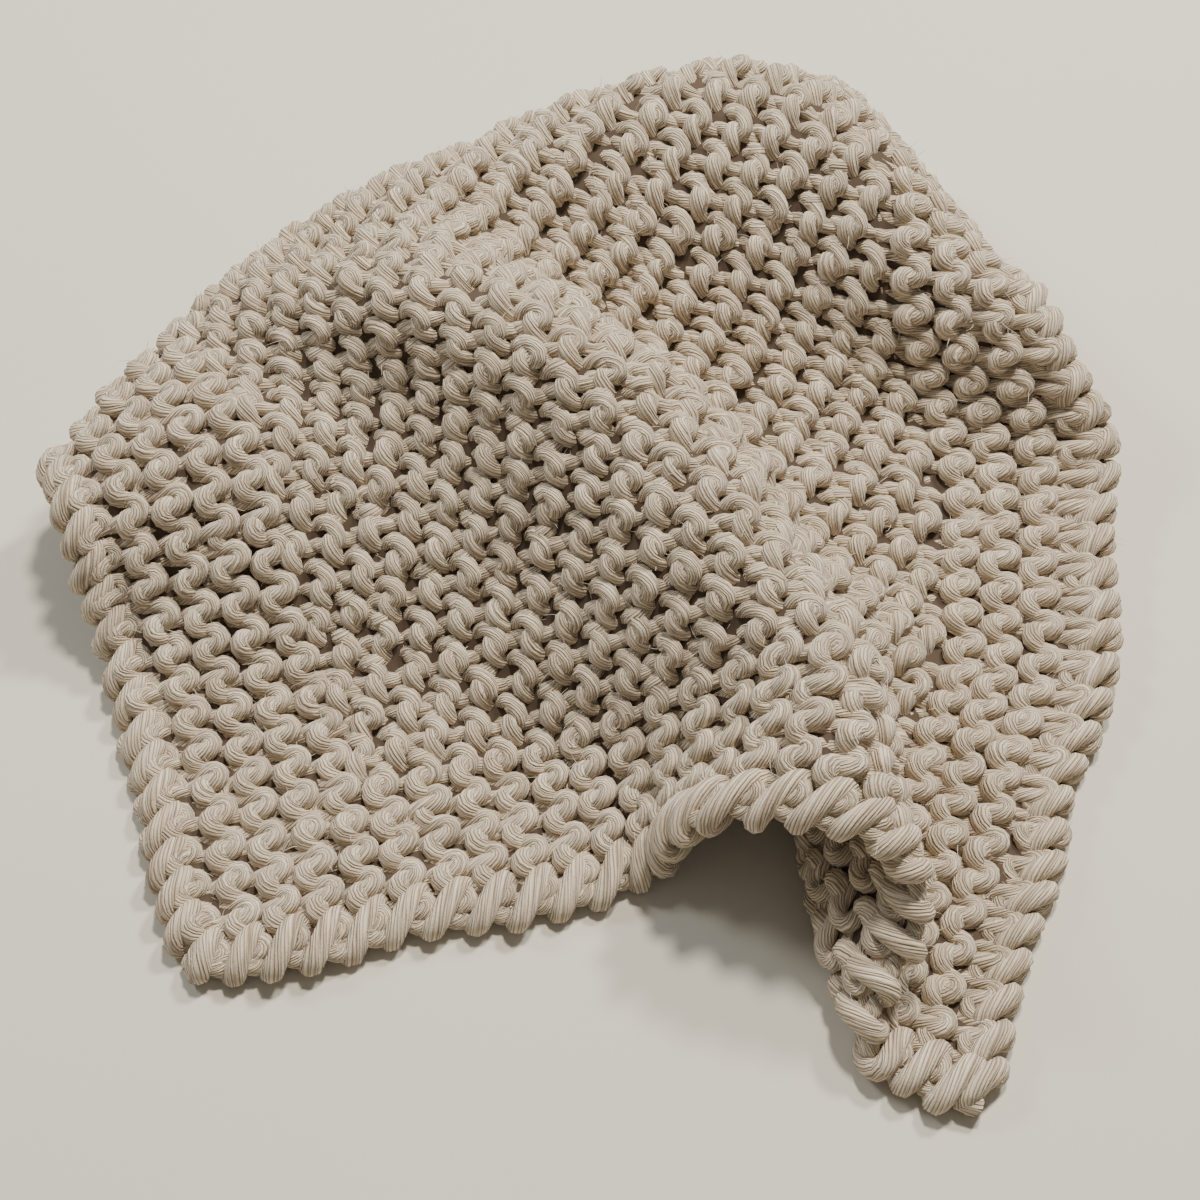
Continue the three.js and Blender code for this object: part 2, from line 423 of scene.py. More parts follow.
def keep_length(points, shift, step, pull, least=1.0):
    """Moves pairs one such step apart towards their resting length. Where least is under 1, it
    only opens those that are closer than that share of it.
    """
    ridges, stitches = step
    count = points.shape[0]
    first = max(0, -ridges)
    last = count - max(0, ridges)
    near = points[first:last, : points.shape[1] - stitches]
    far = points[first + ridges : last + ridges, stitches:]
    rest = least * math.hypot(ridges * RIDGE_PITCH, stitches * STITCH_PITCH)
    gap = far - near
    length = np.linalg.norm(gap, axis=2, keepdims=True) + TINY
    stretch = length - rest
    if least < 1:
        stretch = np.minimum(stretch, 0.0)
    move = gap * (pull * 0.5 * stretch / length)
    shift[first:last, : points.shape[1] - stitches] += move
    shift[first + ridges : last + ridges, stitches:] -= move


def keep_smooth(points, shift, axis):
    """Evens out the curl along each row of three neighbours."""
    lines = np.moveaxis(points, axis, 0)
    moves = np.moveaxis(shift, axis, 0)
    curl = lines[2:] - 2 * lines[1:-1] + lines[:-2]
    moves[1:-1] += EVENNESS * 0.5 * curl
    moves[2:] -= EVENNESS * 0.25 * curl
    moves[:-2] -= EVENNESS * 0.25 * curl


def keep_layers_apart(points, flat):
    """Layers that lie on each other keep their distance."""
    places = points.reshape(-1, 3)
    square = (places**2).sum(1)
    apart = square[:, None] + square[None] - 2 * places @ places.T
    first, second = np.nonzero(np.triu(apart < LAYER_GAP**2, 1))
    other = np.linalg.norm(flat[first] - flat[second], axis=1) >= SAME_LAYER_REACH
    first, second = first[other], second[other]
    gap = places[first] - places[second]
    length = np.linalg.norm(gap, axis=1) + TINY
    push = gap * ((LAYER_GAP - length) / length * LAYER_PUSH)[:, None]
    shift = np.zeros_like(places)
    np.add.at(shift, first, push)
    np.add.at(shift, second, -push)
    return points + shift.reshape(points.shape)


def corners_of(held):
    """The four grid points round each held point, and each one's share."""
    low = np.floor(held[:, :2]).astype(int)
    low = np.minimum(low, [RIDGES - 1, STITCHES - 1])
    part = held[:, :2] - low
    corners = []
    for right in (0, 1):
        for far in (0, 1):
            across = part[:, 0] if right else 1 - part[:, 0]
            along = part[:, 1] if far else 1 - part[:, 1]
            share = (across * along)[:, None]
            corners.append((low[:, 0] + right, low[:, 1] + far, share))
    return corners


def settled_sheet():
    """The grid of the cloth's middle, a point for each ridge and stitch, in mm."""
    held = np.array([row for rows in HELD.values() for row in rows], float)
    ridge, stitch = np.meshgrid(np.arange(RIDGES + 1.0), np.arange(STITCHES + 1.0), indexing="ij")
    flat = np.stack([ridge.ravel() * RIDGE_PITCH, stitch.ravel() * STITCH_PITCH], axis=1)
    points = bent_plate(held, ridge, stitch)
    points[..., 2] = np.maximum(points[..., 2], HALF)
    corners = corners_of(held)
    total = sum(share**2 for _, _, share in corners)
    for turn in range(ROUNDS):
        shift = np.zeros_like(points)
        keep_length(points, shift, (1, 0), ALONG_THREAD)
        keep_length(points, shift, (0, 1), ALONG_THREAD)
        keep_length(points, shift, (1, 1), ACROSS_THREAD)
        keep_length(points, shift, (-1, 1), ACROSS_THREAD)
        keep_length(points, shift, (2, 0), OPEN_ALONG, TIGHTEST_BEND)
        keep_length(points, shift, (0, 2), OPEN_ALONG, TIGHTEST_BEND)
        keep_length(points, shift, (2, 2), OPEN_ACROSS, TIGHTEST_BEND)
        keep_length(points, shift, (-2, 2), OPEN_ACROSS, TIGHTEST_BEND)
        keep_smooth(points, shift, 0)
        keep_smooth(points, shift, 1)
        points = points + shift
        hold = FIRM_HOLD if turn < ROUNDS_HELD_FIRMLY else LIGHT_HOLD
        now = sum(points[i, j] * share for i, j, share in corners)
        error = (held[:, 2:] - now) * hold / total
        for i, j, share in corners:
            np.add.at(points, (i, j), error * share)
        if turn > FIRST_LAYER_ROUND and turn % LAYER_EVERY == 0:
            points = keep_layers_apart(points, flat)
        points[..., 2] = np.maximum(points[..., 2], HALF)
    return points


def spline_weights(t):
    """The shares of four neighbouring points in a cubic B-spline."""
    s = 1 - t
    ends = (s**3 / 6, t**3 / 6)
    middle = ((3 * t**3 - 6 * t**2 + 4) / 6, (3 * s**3 - 6 * s**2 + 4) / 6)
    return np.stack([ends[0], middle[0], middle[1], ends[1]])


def spline_slopes(t):
    """How fast the four shares change along the spline."""
    s = 1 - t
    ends = (-(s**2) / 2, t**2 / 2)
    middle = ((3 * t**2 - 4 * t) / 2, -(3 * s**2 - 4 * s) / 2)
    return np.stack([ends[0], middle[0], middle[1], ends[1]])


class SettledCloth:
    """The smooth surface through the middle of the settled sheet, in the CAD's frame."""

    def __init__(self):
        grid = settled_sheet()
        wide = np.concatenate([2 * grid[:1] - grid[1:2], grid, 2 * grid[-1:] - grid[-2:-1]])
        near = 2 * wide[:, :1] - wide[:, 1:2]
        far = 2 * wide[:, -1:] - wide[:, -2:-1]
        self.grid = np.concatenate([near, wide, far], axis=1)
        self.middle = self.middle_of_solid()

    def middle_of_solid(self):
        """The middle of the solid's box on the floor, in mm."""
        ridges = np.linspace(0, RIDGES, SOLID_POINTS[0])
        stitches = np.linspace(0, STITCHES, SOLID_POINTS[1])
        ridge, stitch = (line.ravel() for line in np.meshgrid(ridges, stitches, indexing="ij"))
        top = self.place(ridge, stitch, np.full(ridge.size, HALF))
        bottom = self.place(ridge, stitch, np.full(ridge.size, -HALF))
        low = np.minimum(top.min(0), bottom.min(0))
        high = np.maximum(top.max(0), bottom.max(0))
        return np.array([(low[0] + high[0]) / 2, (low[1] + high[1]) / 2, 0.0])

    def blend(self, low, across, along):
        """The grid's points round each place, mixed by their shares."""
        out = 0.0
        for a in range(4):
            for b in range(4):
                share = (across[a] * along[b])[:, None]
                out = out + share * self.grid[low[0] + a, low[1] + b]
        return out

    def place(self, ridge, stitch, height):
        """Where the points lie that are this high above the middle of the cloth, in mm."""
        in_ridge = np.clip(ridge, 0, RIDGES)
        in_stitch = np.clip(stitch, 0, STITCHES)
        low = (
            np.minimum(np.floor(in_ridge).astype(int), RIDGES - 1),
            np.minimum(np.floor(in_stitch).astype(int), STITCHES - 1),
        )
        t = in_ridge - low[0]
        s = in_stitch - low[1]
        place = self.blend(low, spline_weights(t), spline_weights(s))
        across = self.blend(low, spline_slopes(t), spline_weights(s))
        along = self.blend(low, spline_weights(t), spline_slopes(s))
        out = np.cross(across, along)
        out /= np.linalg.norm(out, axis=1, keepdims=True)
        place = place + across * (ridge - in_ridge)[:, None] + along * (stitch - in_stitch)[:, None]
        return place + out * height[:, None]

    def metres(self, ridge, stitch, height):
        """The same in metres, in the CAD's frame."""
        return (self.place(ridge, stitch, height) - self.middle) * MM

    def lay(self, path):
        """Lays a path on the cloth that is flat, in mm along stitches, across ridges and up."""
        return self.metres(path[:, 1] / RIDGE_PITCH, path[:, 0] / STITCH_PITCH, path[:, 2])


# The knitting


def is_knit(stitch, row):
    """Whether the stitches at these whole numbers show their legs on the upper side."""
    seed = (stitch + row) % 2 == 0
    garter = row % 2 == 0
    border = (stitch < NEAR_BORDER) | (stitch >= STITCHES - FAR_BORDER)
    border |= (row < 2 * LEFT_BORDER) | (row >= ROWS - 2 * RIGHT_BORDER)
    return np.where(border, garter, seed)


def side_of(stitch, row):
    """1 where the legs show on the upper side, and -1 elsewhere."""
    return np.where(is_knit(stitch, row), 1.0, -1.0)


def ease(t):
    """Goes smoothly from 0 to 1."""
    t = np.clip(t, 0.0, 1.0)
    return t * t * (3 - 2 * t)


def loop_depths(turn, sides, here, above, bumps):
    """How high the yarn lies above the middle of the cloth along its loops, in mm."""
    size = sizes()
    wave = np.cos(turn)
    first, second = sides
    # Between two stitches that show on different sides, the foot crosses the cloth a little late.
    crossing = np.sin(2 * turn + FOOT_LATE * wave)
    foot = (first + second) / 2 * wave + (second - first) / 2 * crossing
    head = above * wave * np.where(bumps, BUMP_RISE, 1.0)
    leg = here * np.sin(turn) ** 2 * np.where(bumps, BUMP_LEG, 1.0)
    depth = size.loop_depth / MM * np.where(wave > 0, -foot, head)
    return depth + size.leg_depth / MM * leg + size.loop_turn / MM * np.sin(turn)


def share_of_depth(along, row):
    """How much of the loops' depth is left near the edges, under the edge yarn."""
    from_edge = np.minimum(along, STITCHES - along) * STITCH_PITCH
    if row in (0, ROWS - 1):
        from_edge = from_edge * 0
    return EDGE_FLATNESS + (1 - EDGE_FLATNESS) * ease(from_edge / EDGE_WIDTH)


def row_path(row, jitter):
    """One row of loops: mm along the row, across the rows and above the middle, and the radius.

    A loop starts and ends at the middle of a foot, where wave is 1. At its head wave is -1.
    """
    size = sizes()
    along = np.arange(STITCHES * POINTS_PER_STITCH + 1) / POINTS_PER_STITCH
    stitch = np.minimum(np.floor(along), STITCHES - 1).astype(int)
    part = along - stitch
    turn = 2 * math.pi * part
    wave = np.cos(turn)
    here = side_of(stitch, row)
    above = side_of(stitch, row + 1)
    before = side_of(np.maximum(stitch - 1, 0), row)
    after = side_of(np.minimum(stitch + 1, STITCHES - 1), row)
    first = np.where(part < 0.5, before, here)
    second = np.where(part < 0.5, here, after)
    # In the seed stitch a loop's head stands up as a bump of its own, and its legs lie deeper.
    bumps = (before != here) | (after != here)
    bump_heads = (wave < 0) & bumps
    bulge = size.loop_bulge / MM * np.where(bumps, BUMP_BULGE, 1.0)
    x = along * STITCH_PITCH + bulge * np.sin(2 * turn) + size.loop_lean / MM * wave
    reach = np.where((wave > 0) & (first != second), CROSSING_FOOT, 1.0)
    reach = np.where(bump_heads, BUMP_REACH, reach)
    y = (row + 0.5) * ROW_PITCH - size.loop_height / MM * wave * reach
    y -= np.where(bump_heads, BUMP_SLANT * np.sin(2 * turn), 0.0)
    z = loop_depths(turn, (first, second), here, above, bumps) * share_of_depth(along, row)
    # The soft yarn is fuller where it lies free on either side of the cloth.
    free = ease(np.abs(z) / (size.loop_depth / MM))
    swell = size.yarn_swell * np.where(bumps, BUMP_SWELL, 1.0)
    radius = size.yarn_radius + free * (swell + size.foot_swell * wave)
    share = ease(part)[:, None]
    shift = jitter[stitch] * (1 - share) + jitter[stitch + 1] * share
    return np.stack([x + shift[:, 0], y + shift[:, 1], z + shift[:, 2], radius / MM], axis=1)


def edge_turn(last, first, outwards):
    """The yarn's turn at the end of a row, from its last point to the next row's first."""
    steps = np.linspace(0, 1, TURN_STEPS + 1)[1:-1]
    path = last[None] * (1 - steps[:, None]) + first[None] * steps[:, None]
    path[:, 0] += outwards * np.sin(math.pi * steps) * TURN_REACH
    return path


def knitted_bands(rng):
    """The yarn of all rows, in bands. It turns at the near and far edges and never ends inside."""
    bands = []
    last = None
    for row in range(ROWS):
        jitter = rng.normal(0.0, sizes().unevenness / MM, (STITCHES + 1, 3))
        path = row_path(row, jitter)
        if row % 2:
            path = path[::-1]
        if row % BAND_ROWS == 0:
            bands.append([])
        if last is not None:
            outwards = 1.0 if row % 2 else -1.0
            bands[-1].append(last[None])
            bands[-1].append(edge_turn(last, path[0], outwards))
        bands[-1].append(path)
        last = path[-1]
    return [without_repeats(np.concatenate(parts)) for parts in bands]


def without_repeats(path):
    """The path without points that lie on the one before."""
    gap = np.linalg.norm(np.diff(path, axis=0), axis=1)
    return path[np.concatenate([[True], gap > LEAST_STEP])]


def edge_rope(along_stitches, at, reach, step, rng):
    """A yarn that wraps an edge once for each stitch or ridge, leaning the same way all along."""
    count = STITCHES if along_stitches else RIDGES
    pitch = STITCH_PITCH if along_stitches else RIDGE_PITCH
    turns = np.arange(count * ROPE_POINTS + 1) / ROPE_POINTS
    turn = 2 * math.pi * turns
    knots = rng.normal(0.0, sizes().unevenness / MM, (count + 2, 3))
    numbers = np.arange(count + 2)
    wobble = np.stack([np.interp(turns, numbers, knots[:, axis]) for axis in range(3)], axis=1)
    forward = pitch * turns - ROPE_SLANT * np.cos(turn)
    across = at - reach * np.cos(turn)
    height = ROPE_RISE * np.sin(turn)
    parts = [forward, across, height] if along_stitches else [across, forward, height]
    return (np.stack(parts, axis=1) + wobble)[::step]


def unit(vectors):
    """The vectors at a length of 1."""
    return vectors / np.linalg.norm(vectors, axis=-1, keepdims=True)


def loose_fibres(laid, radii, count, rng):
    """Short curled fibres that stand off the yarn, as paths in metres."""
    at = rng.integers(1, len(laid) - 1, count)
    along = unit(laid[at + 1] - laid[at - 1])
    out = unit(np.cross(along, rng.normal(0, 1, (count, 3))))
    out[:, 2] = np.abs(out[:, 2])
    root = laid[at] + out * radii[at][:, None] * FIBRE_ROOT
    way = unit(out + rng.normal(0, FIBRE_STRAY, (count, 3)))
    bend = rng.normal(0, FIBRE_CURL, (count, 3))
    length = rng.uniform(*FIBRE_LENGTHS, (count, 1)) * MM
    steps = np.array(FIBRE_STEPS)[None, :, None]
    return root[:, None] + (way[:, None] * steps + bend[:, None] * steps**2) * length[:, None]


def yarn_piece(name, paths, radii, colour, sides=2, closed=False):
    """Tubes of yarn along the paths, as one mesh with a UV map along and round the yarn."""
    curve = bpy.data.curves.new(name, "CURVE")
    curve.dimensions = "3D"
    curve.bevel_depth = 1.0
    curve.bevel_resolution = sides
    curve.use_fill_caps = True
    for path, radius in zip(paths, radii):
        spline = curve.splines.new("POLY")
        spline.use_cyclic_u = closed
        spline.points.add(len(path) - 1)
        places = np.concatenate([path, np.ones((len(path), 1))], axis=1)
        spline.points.foreach_set("co", places.ravel())
        spline.points.foreach_set("radius", radius)
    holder = bpy.data.objects.new(name, curve)
    bpy.context.scene.collection.objects.link(holder)
    depsgraph = bpy.context.evaluated_depsgraph_get()
    mesh = bpy.data.meshes.new_from_object(holder.evaluated_get(depsgraph))
    bpy.data.objects.remove(holder)
    bpy.data.curves.remove(curve)
    piece = bpy.data.objects.new(name, mesh)
    mesh.name = name
    bpy.context.scene.collection.objects.link(piece)
    keep_on_floor(mesh)
    mesh.shade_smooth()
    mesh.materials.clear()
    mesh.materials.append(colour)
    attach(piece, "root")
    return piece


def keep_on_floor(mesh):
    """Lifts what lies too low onto the floor."""
    places = np.zeros(len(mesh.vertices) * 3, np.float32)
    mesh.vertices.foreach_get("co", places)
    places[2::3] = np.maximum(places[2::3], FLOOR_GAP)
    mesh.vertices.foreach_set("co", places)
    mesh.update()


def shade_sheet_piece(cloth, colour):
    """The thin closed sheet inside the yarn, whose dark colour is painted shade in the gaps between
    the loops.
    """
    shape = bmesh.new()
    bmesh.ops.create_grid(shape, x_segments=2 * RIDGES, y_segments=2 * STITCHES, size=1.0)
    bmesh.ops.recalc_face_normals(shape, faces=shape.faces)
    mesh = bpy.data.meshes.new("painted_shade_sheet")
    shape.to_mesh(mesh)
    shape.free()
    count = len(mesh.vertices)
    flat = np.zeros(count * 3)
    mesh.vertices.foreach_get("co", flat)
    flat = flat.reshape(-1, 3)
    ridge = (flat[:, 0] + 1) / 2 * RIDGES
    stitch = (flat[:, 1] + 1) / 2 * STITCHES
    places = cloth.metres(ridge, stitch, np.zeros(count))
    mesh.vertices.foreach_set("co", places.ravel())
    mesh.update()
    mesh.shade_smooth()
    mesh.materials.append(colour)
    piece = bpy.data.objects.new("painted_shade_sheet", mesh)
    bpy.context.scene.collection.objects.link(piece)
    wall = piece.modifiers.new("wall", "SOLIDIFY")
    wall.thickness = sizes().backing
    wall.offset = 0.0
    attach(piece, "root")
    return piece


# Materials


class Socket:
    """A value in a shader, on which sums are written as plain expressions."""

    def __init__(self, paint, socket):
        self.paint = paint
        self.socket = socket

    def maths(self, operation, *values):
        """A Math node on these values or sockets."""
        return self.paint.node("ShaderNodeMath", {"operation": operation}, dict(enumerate(values)))

    def __add__(self, other):
        return self.maths("ADD", self, other)

    def __radd__(self, other):
        return self.maths("ADD", other, self)

    def __sub__(self, other):
        return self.maths("SUBTRACT", self, other)

    def __rsub__(self, other):
        return self.maths("SUBTRACT", other, self)

    def __mul__(self, other):
        return self.maths("MULTIPLY", self, other)

    def __rmul__(self, other):
        return self.maths("MULTIPLY", other, self)

    def __truediv__(self, other):
        return self.maths("DIVIDE", self, other)

    def __pow__(self, other):
        return self.maths("POWER", self, other)


class Paint:
    """Builds one material's nodes."""

    def __init__(self, name):
        self.material = bpy.data.materials.new(name)
        self.material.use_nodes = True
        self.tree = self.material.node_tree
        self.tree.nodes.clear()

    def node(self, kind, settings=None, inputs=None, output=0):
        """Adds a node and returns one of its outputs."""
        made = self.tree.nodes.new(kind)
        for name, value in (settings or {}).items():
            setattr(made, name, value)
        for key, value in (inputs or {}).items():
            if isinstance(value, Socket):
                self.tree.links.new(value.socket, made.inputs[key])
            else:
                made.inputs[key].default_value = value
        return Socket(self, made.outputs[output])

    def finish(self, **inputs):
        """Gives the material a surface with these inputs, and returns the material."""
        names = {key.replace("_", " "): value for key, value in inputs.items()}
        shader = self.node("ShaderNodeBsdfPrincipled", None, names)
        surface = self.tree.nodes.new("ShaderNodeOutputMaterial")
        self.tree.links.new(shader.socket, surface.inputs["Surface"])
        return self.material

    def vector(self, *parts):
        """Three numbers as one place."""
        return self.node("ShaderNodeCombineXYZ", None, dict(enumerate(parts)))

    def mix(self, share, first, second, blend="MIX"):
        """The first colour mixed with a share of the second, by the node's colour sockets."""
        settings = {"data_type": "RGBA", "blend_type": blend}
        inputs = {0: share, 6: first, 7: second}
        return self.node("ShaderNodeMix", settings, inputs, output=2)

    def noise(self, where, scale, detail):
        """Cloudy noise from 0 to 1, finer with a larger scale."""
        inputs = {"Vector": where, "Scale": scale, "Detail": detail}
        return self.node("ShaderNodeTexNoise", None, inputs)


def with_alpha(colour):
    """The colour as a shader wants it."""
    return (*colour, 1.0)


# The yarn's strands: mm of yarn for one full twist, and how far a strand strays in radians.
TWIST_PITCH = 18.0
STRAND_STRAY = 11.0

# The painted shade in the groove between two strands: a lower power makes it narrower. Then how dark
# that painted shade is beside a dark strand, and how much of that a light strand takes away.
GROOVE_POWER = 0.45
GROOVE_DARKNESS = 1.3
GROOVE_FADING = 0.5

# Noise on the yarn: how fine it is round the yarn and along it, and its detail.
STREAKS = (2.6, 0.12, 1.0)
FRAYS = (5.5, 0.45, 2.0)

# How strongly the streaks and frays show, and how fine the clouds of colour and the fluff are.
STREAK_CONTRAST = 3.2
FRAY_CONTRAST = 1.6
CLOUD_SCALE = 45.0
FLUFF_SCALE = 2600.0

# What multiplies a dark and a light strand's colour, by what share, and the colour of the clouds.
DARK_STRAND = (0.66, 0.61, 0.56)
LIGHT_STRAND = (1.12, 1.12, 1.12)
STRAND_SHARE = 0.8
CLOUD_COLOUR = (0.78, 0.68, 0.52)
CLOUD_SHARE = 0.35

# The relief of the yarn's surface: what strands, fluff and frays add to it, its strength, and its
# height in metres.
STRAND_HEIGHT = 0.8
FLUFF_HEIGHT = 0.35
FRAY_HEIGHT = 0.4
RELIEF_STRENGTH = 0.9
RELIEF_HEIGHT = 0.00035


def noise_on_yarn(paint, across, beside, along, fineness):
    """Noise that has no seam where the UV map goes once round the yarn."""
    around, lengthwise, detail = fineness
    where = paint.vector(across * around, beside * around, along * lengthwise)
    return paint.noise(where, 1.0, detail=detail)


def yarn_colour(name, length):
    """Loosely plied cotton with painted shade between its fine strands, which wind round the yarn. The
    yarn is `length` metres long.
    """
    size = sizes()
    tint = colours()
    paint = Paint(name)
    uv = paint.node("ShaderNodeUVMap", {"uv_map": "UVMap"})
    lengthwise, around = [
        paint.node("ShaderNodeSeparateXYZ", None, {"Vector": uv}, output=axis) for axis in (0, 1)
    ]
    along = lengthwise * (length / MM)
    angle = (around + along / TWIST_PITCH) * (2 * math.pi)
    across = angle.maths("COSINE", angle)
    beside = angle.maths("SINE", angle)
    streak = noise_on_yarn(paint, across, beside, along, STREAKS)
    fray = noise_on_yarn(paint, across, beside, along, FRAYS)
    phase = angle * size.strands + (streak - 0.5) * STRAND_STRAY
    wave = phase.maths("COSINE", phase) * 0.5 + 0.5
    crown = wave**GROOVE_POWER
    position = paint.node("ShaderNodeTexCoord", output=3)
    cloudy = paint.noise(position, CLOUD_SCALE, detail=3.0)
    fluff = paint.noise(position, FLUFF_SCALE, detail=2.0)
    uneven = (streak - 0.5) * STREAK_CONTRAST + 0.5
    frayed = (fray - 0.5) * FRAY_CONTRAST
    # Painted shade in the grooves between the strands, fainter beside a light strand; the frays add
    # random darker and lighter marks to it.
    groove_shade_and_fray = (1 - crown) * (GROOVE_DARKNESS - uneven * GROOVE_FADING) + frayed
    shade = paint.mix(groove_shade_and_fray, with_alpha(tint.yarn), with_alpha(tint.groove_shade_and_fray))
    light = paint.mix(uneven, with_alpha(DARK_STRAND), with_alpha(LIGHT_STRAND))
    strands = paint.mix(STRAND_SHARE, shade, light, blend="MULTIPLY")
    tinted = paint.mix(cloudy * CLOUD_SHARE, strands, with_alpha(CLOUD_COLOUR))
    height = crown * STRAND_HEIGHT + fluff * FLUFF_HEIGHT - frayed * FRAY_HEIGHT
    inputs = {"Strength": RELIEF_STRENGTH, "Distance": RELIEF_HEIGHT, "Height": height}
    relief = paint.node("ShaderNodeBump", None, inputs)
    return paint.finish(
        Base_Color=tinted,
        Roughness=0.95,
        Normal=relief,
        Sheen_Weight=0.25,
        Sheen_Roughness=0.5,
        Specular_IOR_Level=0.15,
    )


def plain_colour(name, colour, mottle, scale):
    """A matt colour with faint clouds: mottle is their darkness, and scale their fineness."""
    paint = Paint(name)
    position = paint.node("ShaderNodeTexCoord", output=3)
    cloudy = paint.noise(position, scale, detail=3.0)
    darker = tuple(value * (1 - mottle) for value in colour)
    shade = paint.mix(cloudy, with_alpha(colour), with_alpha(darker))
    return paint.finish(Base_Color=shade, Roughness=0.9, Specular_IOR_Level=0.2)


# The operators


def length_of(path):
    """The path's length in its own unit."""
    return float(np.linalg.norm(np.diff(path, axis=0), axis=1).sum())


def knit_pieces(cloth, rng):
    """The bands of knitted yarn, and the loose fibres on them."""
    flats = knitted_bands(rng)
    colour = yarn_colour("cotton_yarn", length_of(cloth.lay(flats[0])))
    pieces = []
    fibres = []
    for number, flat in enumerate(flats, 1):
        laid = cloth.lay(flat)
        radii = flat[:, 3] * MM
        pieces.append(yarn_piece("yarn_band_%d" % number, [laid], [radii], colour))
        fibres.extend(loose_fibres(laid, radii, sizes().fibres // len(flats), rng))
    thin = [np.array(FIBRE_RADII) * MM] * len(fibres)
    colour = plain_colour("cotton_fibre", colours().fibre, mottle=0.2, scale=300.0)
    pieces.append(yarn_piece("loose_fibres", fibres, thin, colour, sides=0))
    return pieces


def edge_piece(cloth, rng):
    """The closed yarn that wraps all four edges."""
    rope = cloth.lay(np.concatenate([edge_rope(*edge, rng) for edge in EDGES]))
    radii = np.full(len(rope), sizes().rope_radius)
    colour = yarn_colour("edge_yarn", length_of(rope))
    return yarn_piece("edge_yarn", [rope], [radii], colour, closed=True)


class Work:
    """What the operators share: the settled cloth, the random draws and the yarn made so far."""

    current = None

    def __init__(self):
        self.cloth = SettledCloth()
        self.rng = np.random.default_rng(SEED)
        self.yarn = []

    @classmethod
    def shared(cls):
        """The work under way. The first operator that needs it settles the cloth."""
        if cls.current is None:
            cls.current = cls()
        return cls.current


class CLOTH_OT_knit(bpy.types.Operator):
    """Knits the loops of the cloth, with their loose fibres, onto the settled sheet"""

    bl_idname = "cloth.knit"
    bl_label = "Knit the loops"

    def execute(self, context):
        work = Work.shared()
        work.yarn.extend(knit_pieces(work.cloth, work.rng))
        return {"FINISHED"}


class CLOTH_OT_edge(bpy.types.Operator):
    """Wraps the edge yarn round the four edges"""

    bl_idname = "cloth.edge"
    bl_label = "Wrap the edges"

    def execute(self, context):
        work = Work.shared()
        work.yarn.append(edge_piece(work.cloth, work.rng))
        return {"FINISHED"}


# Lays the sheet inside the yarn, whose dark colour is painted shade in the gaps between the loops.
class CLOTH_OT_shade_sheet(bpy.types.Operator):
    bl_idname = "cloth.backing"
    bl_label = "Lay the backing sheet"

    def execute(self, context):
        work = Work.shared()
        # The painted shade deep between the loops, with faint darker clouds.
        colour = plain_colour("painted_gap_shade", colours().backing, mottle=0.3, scale=300.0)
        backing = shade_sheet_piece(work.cloth, colour)
        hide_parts("cloth")
        return {"FINISHED"}


# The camera in metres and degrees, as the photograph was taken.
CAMERA_PLACE = (0.00315, -0.21178, 0.2993)
CAMERA_DOWN = 56.0
CAMERA_LENS = 55.4
CAMERA_SENSOR = 36.0

# The studio's soft lights: name, place, size, power in watts, and colour. They aim at the heap.
LIGHTS = [
    ("overhead", (0.15, 0.33, 0.95), 0.14, 10.5, (1.0, 0.95, 0.87)),
    ("right_back", (0.45, 0.48, 0.8), 0.14, 8.5, (1.0, 0.98, 0.95)),
    ("left_back", (-0.7, 0.35, 0.7), 0.25, 4.0, (0.9, 0.95, 1.0)),
]
LIGHTS_AIM = (0, 0, 0.02)
SKY_COLOUR = (1.0, 0.98, 0.95)
SKY_STRENGTH = 0.22


def add_camera():
    """The camera that sees the heap as the photograph does."""
    lens = bpy.data.cameras.new("camera")
    lens.lens = CAMERA_LENS
    lens.sensor_width = CAMERA_SENSOR
    lens.clip_start = 0.01
    camera = bpy.data.objects.new("camera", lens)
    camera.location = CAMERA_PLACE
    camera.rotation_euler = (math.radians(90 - CAMERA_DOWN), 0, 0)
    bpy.context.scene.collection.objects.link(camera)
    bpy.context.scene.camera = camera


def add_light(name, place, side, power, colour):
    """A round soft light."""
    lamp = bpy.data.lights.new(name, "AREA")
    lamp.shape = "DISK"
    lamp.size = side
    lamp.energy = power
    lamp.color = colour
    light = bpy.data.objects.new(name, lamp)
    aim = Vector(LIGHTS_AIM) - Vector(place)
    turn = aim.to_track_quat("-Z", "Y").to_matrix().to_4x4()
    light.matrix_world = Matrix.Translation(place) @ turn
    bpy.context.scene.collection.objects.link(light)


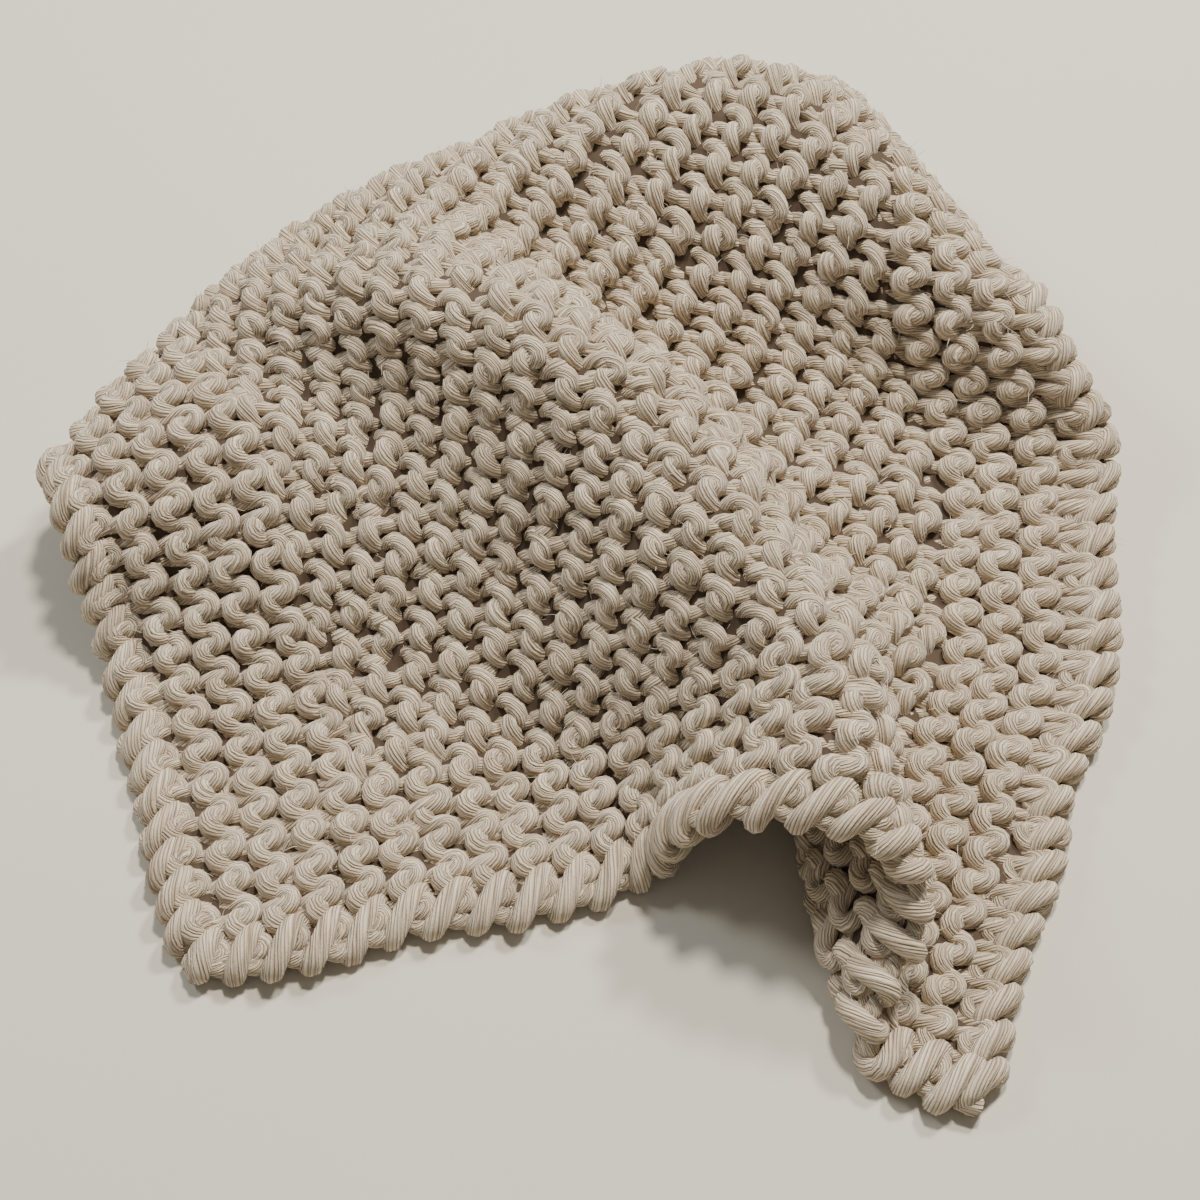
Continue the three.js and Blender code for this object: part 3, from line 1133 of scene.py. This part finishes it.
def add_world():
    """The faint light from all sides."""
    world = bpy.data.worlds.new("studio")
    world.use_nodes = True
    sky = world.node_tree.nodes["Background"]
    sky.inputs["Color"].default_value = with_alpha(SKY_COLOUR)
    sky.inputs["Strength"].default_value = SKY_STRENGTH
    bpy.context.scene.world = world


class CLOTH_OT_stage(bpy.types.Operator):
    """Adds the plain floor, the soft lights and the camera"""

    bl_idname = "cloth.stage"
    bl_label = "Set the stage"

    def execute(self, context):
        shape = bmesh.new()
        bmesh.ops.create_grid(shape, x_segments=1, y_segments=1, size=sizes().floor_size / 2)
        mesh = bpy.data.meshes.new("floor")
        shape.to_mesh(mesh)
        shape.free()
        mesh.materials.append(plain_colour("floor", colours().floor, mottle=0.03, scale=12.0))
        floor = bpy.data.objects.new("floor", mesh)
        bpy.context.scene.collection.objects.link(floor)
        add_camera()
        for light in LIGHTS:
            add_light(*light)
        add_world()
        return {"FINISHED"}


class CLOTH_PT_panel(bpy.types.Panel):
    """Lists the cloth's steps and sizes"""

    bl_label = "Knitted cloth"
    bl_idname = "CLOTH_PT_panel"
    bl_space_type = "VIEW_3D"
    bl_region_type = "UI"
    bl_category = "Knitted cloth"

    def draw(self, context):
        layout = self.layout
        for operator in OPERATORS:
            layout.operator(operator.bl_idname)
        for group in (context.scene.cloth_sizes, context.scene.cloth_colours):
            for name in group.__annotations__:
                layout.prop(group, name)


GROUPS = (ClothSizes, ClothColours)
OPERATORS = (CLOTH_OT_stage, CLOTH_OT_knit, CLOTH_OT_edge, CLOTH_OT_shade_sheet)
CLASSES = (*GROUPS, *OPERATORS, CLOTH_PT_panel)


def register():
    for made in CLASSES:
        bpy.utils.register_class(made)
    bpy.types.Scene.cloth_sizes = PointerProperty(type=ClothSizes)
    bpy.types.Scene.cloth_colours = PointerProperty(type=ClothColours)


def unregister():
    del bpy.types.Scene.cloth_colours
    del bpy.types.Scene.cloth_sizes
    for made in reversed(CLASSES):
        bpy.utils.unregister_class(made)


def main():
    """Registers the add-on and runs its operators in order."""
    register()
    bpy.ops.cloth.stage()
    bpy.ops.cloth.knit()
    bpy.ops.cloth.edge()
    bpy.ops.cloth.backing()


if __name__ == "__main__":
    main()
